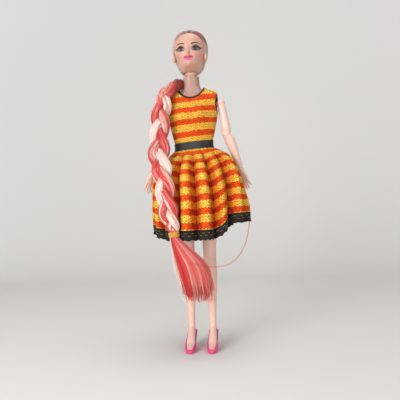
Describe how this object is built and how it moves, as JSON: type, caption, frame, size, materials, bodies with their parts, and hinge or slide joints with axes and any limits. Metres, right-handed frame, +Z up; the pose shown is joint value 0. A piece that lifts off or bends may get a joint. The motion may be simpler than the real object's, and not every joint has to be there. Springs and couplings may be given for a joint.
{
  "type": "articulated fashion doll",
  "caption": "Dressed fashion doll with posable head, arms and legs, a striped knit dress and a long braid over one shoulder.",
  "frame": {"origin": "centre of the waist, where the doll is held", "axes": "+Z up along the body, -Y the way the doll faces, +X the doll's own left"},
  "size_m": [0.1016, 0.0859, 0.2903],
  "materials": {
    "hard_skin": "smooth moulded skin-coloured plastic",
    "vinyl_skin": "soft vinyl with a satin surface and painted features",
    "blonde_hair": "glossy synthetic doll hair",
    "red_hair": "glossy synthetic doll hair",
    "striped_knit": "coarse striped knit with a little metallic thread",
    "black_trim": "woven satin ribbon",
    "elastic": "thin elastic band",
    "shoe_plastic": "glossy moulded plastic",
    "closure_tape": "hook-and-loop tape"
  },
  "bodies": {
    "trunk": {"trunk_front_shell": "hard_skin", "trunk_back_shell": "hard_skin", "bodice": "striped_knit", "neckline_binding": "black_trim", "left_armhole_binding": "black_trim", "right_armhole_binding": "black_trim", "waistband": "black_trim", "back_closure": "closure_tape", "skirt": "striped_knit", "hem_trim": "black_trim", "braid": "red_hair", "hair_tie": "elastic", "hair_tail": "red_hair"},
    "neck_knob": {"neck_knob": "hard_skin"},
    "head": {"head": "vinyl_skin", "scalp_hair": "blonde_hair", "ponytail": "blonde_hair"},
    "left_shoulder_disc": {"left_shoulder_disc": "hard_skin"},
    "right_shoulder_disc": {"right_shoulder_disc": "hard_skin"},
    "left_upper_arm": {"left_upper_arm": "hard_skin", "left_shoulder_pin": "hard_skin", "left_elbow_pin": "hard_skin"},
    "right_upper_arm": {"right_upper_arm": "hard_skin", "right_shoulder_pin": "hard_skin", "right_elbow_pin": "hard_skin"},
    "left_forearm": {"left_forearm": "hard_skin"},
    "right_forearm": {"right_forearm": "hard_skin"},
    "left_hand": {"left_hand": "hard_skin"},
    "right_hand": {"right_hand": "hard_skin"},
    "left_hip_disc": {"left_hip_disc": "hard_skin"},
    "right_hip_disc": {"right_hip_disc": "hard_skin"},
    "left_thigh": {"left_thigh": "hard_skin", "left_hip_pin": "hard_skin", "left_knee_pin": "hard_skin"},
    "right_thigh": {"right_thigh": "hard_skin", "right_hip_pin": "hard_skin", "right_knee_pin": "hard_skin"},
    "left_shin": {"left_shin_and_foot": "hard_skin", "left_shoe": "shoe_plastic"},
    "right_shin": {"right_shin_and_foot": "hard_skin", "right_shoe": "shoe_plastic"}
  },
  "joints": [
    {"name": "neck_nod", "type": "hinge", "parent": "trunk", "child": "neck_knob", "pos_m": [0, 0.0015, 0.06551], "axis": [1, 0, 0], "range_deg": [-8, 10]},
    {"name": "head_turn", "type": "hinge", "parent": "neck_knob", "child": "head", "pos_m": [0, 0.0015, 0.06551], "axis": [0, 0, 1], "range_deg": [-70, 70], "deforming": ["ponytail"]},
    {"name": "left_arm_swing", "type": "hinge", "parent": "trunk", "child": "left_shoulder_disc", "pos_m": [0.026, 0, 0.03601], "axis": [-1, 0, 0], "range_deg": [-50, 170]},
    {"name": "right_arm_swing", "type": "hinge", "parent": "trunk", "child": "right_shoulder_disc", "pos_m": [-0.026, 0, 0.03601], "axis": [-1, 0, 0], "range_deg": [-50, 170], "deforming": ["braid", "hair_tie", "hair_tail"]},
    {"name": "left_arm_raise", "type": "hinge", "parent": "left_shoulder_disc", "child": "left_upper_arm", "pos_m": [0.026, 0, 0.03601], "axis": [0, -0.9945, -0.1045], "range_deg": [0, 90]},
    {"name": "right_arm_raise", "type": "hinge", "parent": "right_shoulder_disc", "child": "right_upper_arm", "pos_m": [-0.026, 0, 0.03601], "axis": [0, 0.9945, 0.1045], "range_deg": [0, 90]},
    {"name": "left_elbow", "type": "hinge", "parent": "left_upper_arm", "child": "left_forearm", "pos_m": [0.0298, 0.00256, 0.01164], "axis": [0, -0.9945, -0.1045], "range_deg": [-10, 75]},
    {"name": "right_elbow", "type": "hinge", "parent": "right_upper_arm", "child": "right_forearm", "pos_m": [-0.0298, 0.00256, 0.01164], "axis": [0, 0.9945, 0.1045], "range_deg": [-10, 75]},
    {"name": "left_wrist", "type": "hinge", "parent": "left_forearm", "child": "left_hand", "pos_m": [0.04108, 0.00619, -0.02288], "axis": [0.309, 0.0994, -0.9458], "range_deg": [-90, 90]},
    {"name": "right_wrist", "type": "hinge", "parent": "right_forearm", "child": "right_hand", "pos_m": [-0.04108, 0.00619, -0.02288], "axis": [-0.309, 0.0994, -0.9458], "range_deg": [-90, 90]},
    {"name": "left_leg_swing", "type": "hinge", "parent": "trunk", "child": "left_hip_disc", "pos_m": [0.0131, 0, -0.02899], "axis": [-1, 0, 0], "range_deg": [-20, 80], "deforming": ["skirt", "hem_trim"]},
    {"name": "right_leg_swing", "type": "hinge", "parent": "trunk", "child": "right_hip_disc", "pos_m": [-0.0131, 0, -0.02899], "axis": [-1, 0, 0], "range_deg": [-20, 80]},
    {"name": "left_leg_spread", "type": "hinge", "parent": "left_hip_disc", "child": "left_thigh", "pos_m": [0.0131, 0, -0.02899], "axis": [0, -1, 0], "range_deg": [0, 12]},
    {"name": "right_leg_spread", "type": "hinge", "parent": "right_hip_disc", "child": "right_thigh", "pos_m": [-0.0131, 0, -0.02899], "axis": [0, 1, 0], "range_deg": [0, 12]},
    {"name": "left_knee", "type": "hinge", "parent": "left_thigh", "child": "left_shin", "pos_m": [0.0098, -0.0005, -0.10099], "axis": [1, 0, 0], "range_deg": [0, 95]},
    {"name": "right_knee", "type": "hinge", "parent": "right_thigh", "child": "right_shin", "pos_m": [-0.0098, -0.0005, -0.10099], "axis": [1, 0, 0], "range_deg": [0, 95]}
  ]
}
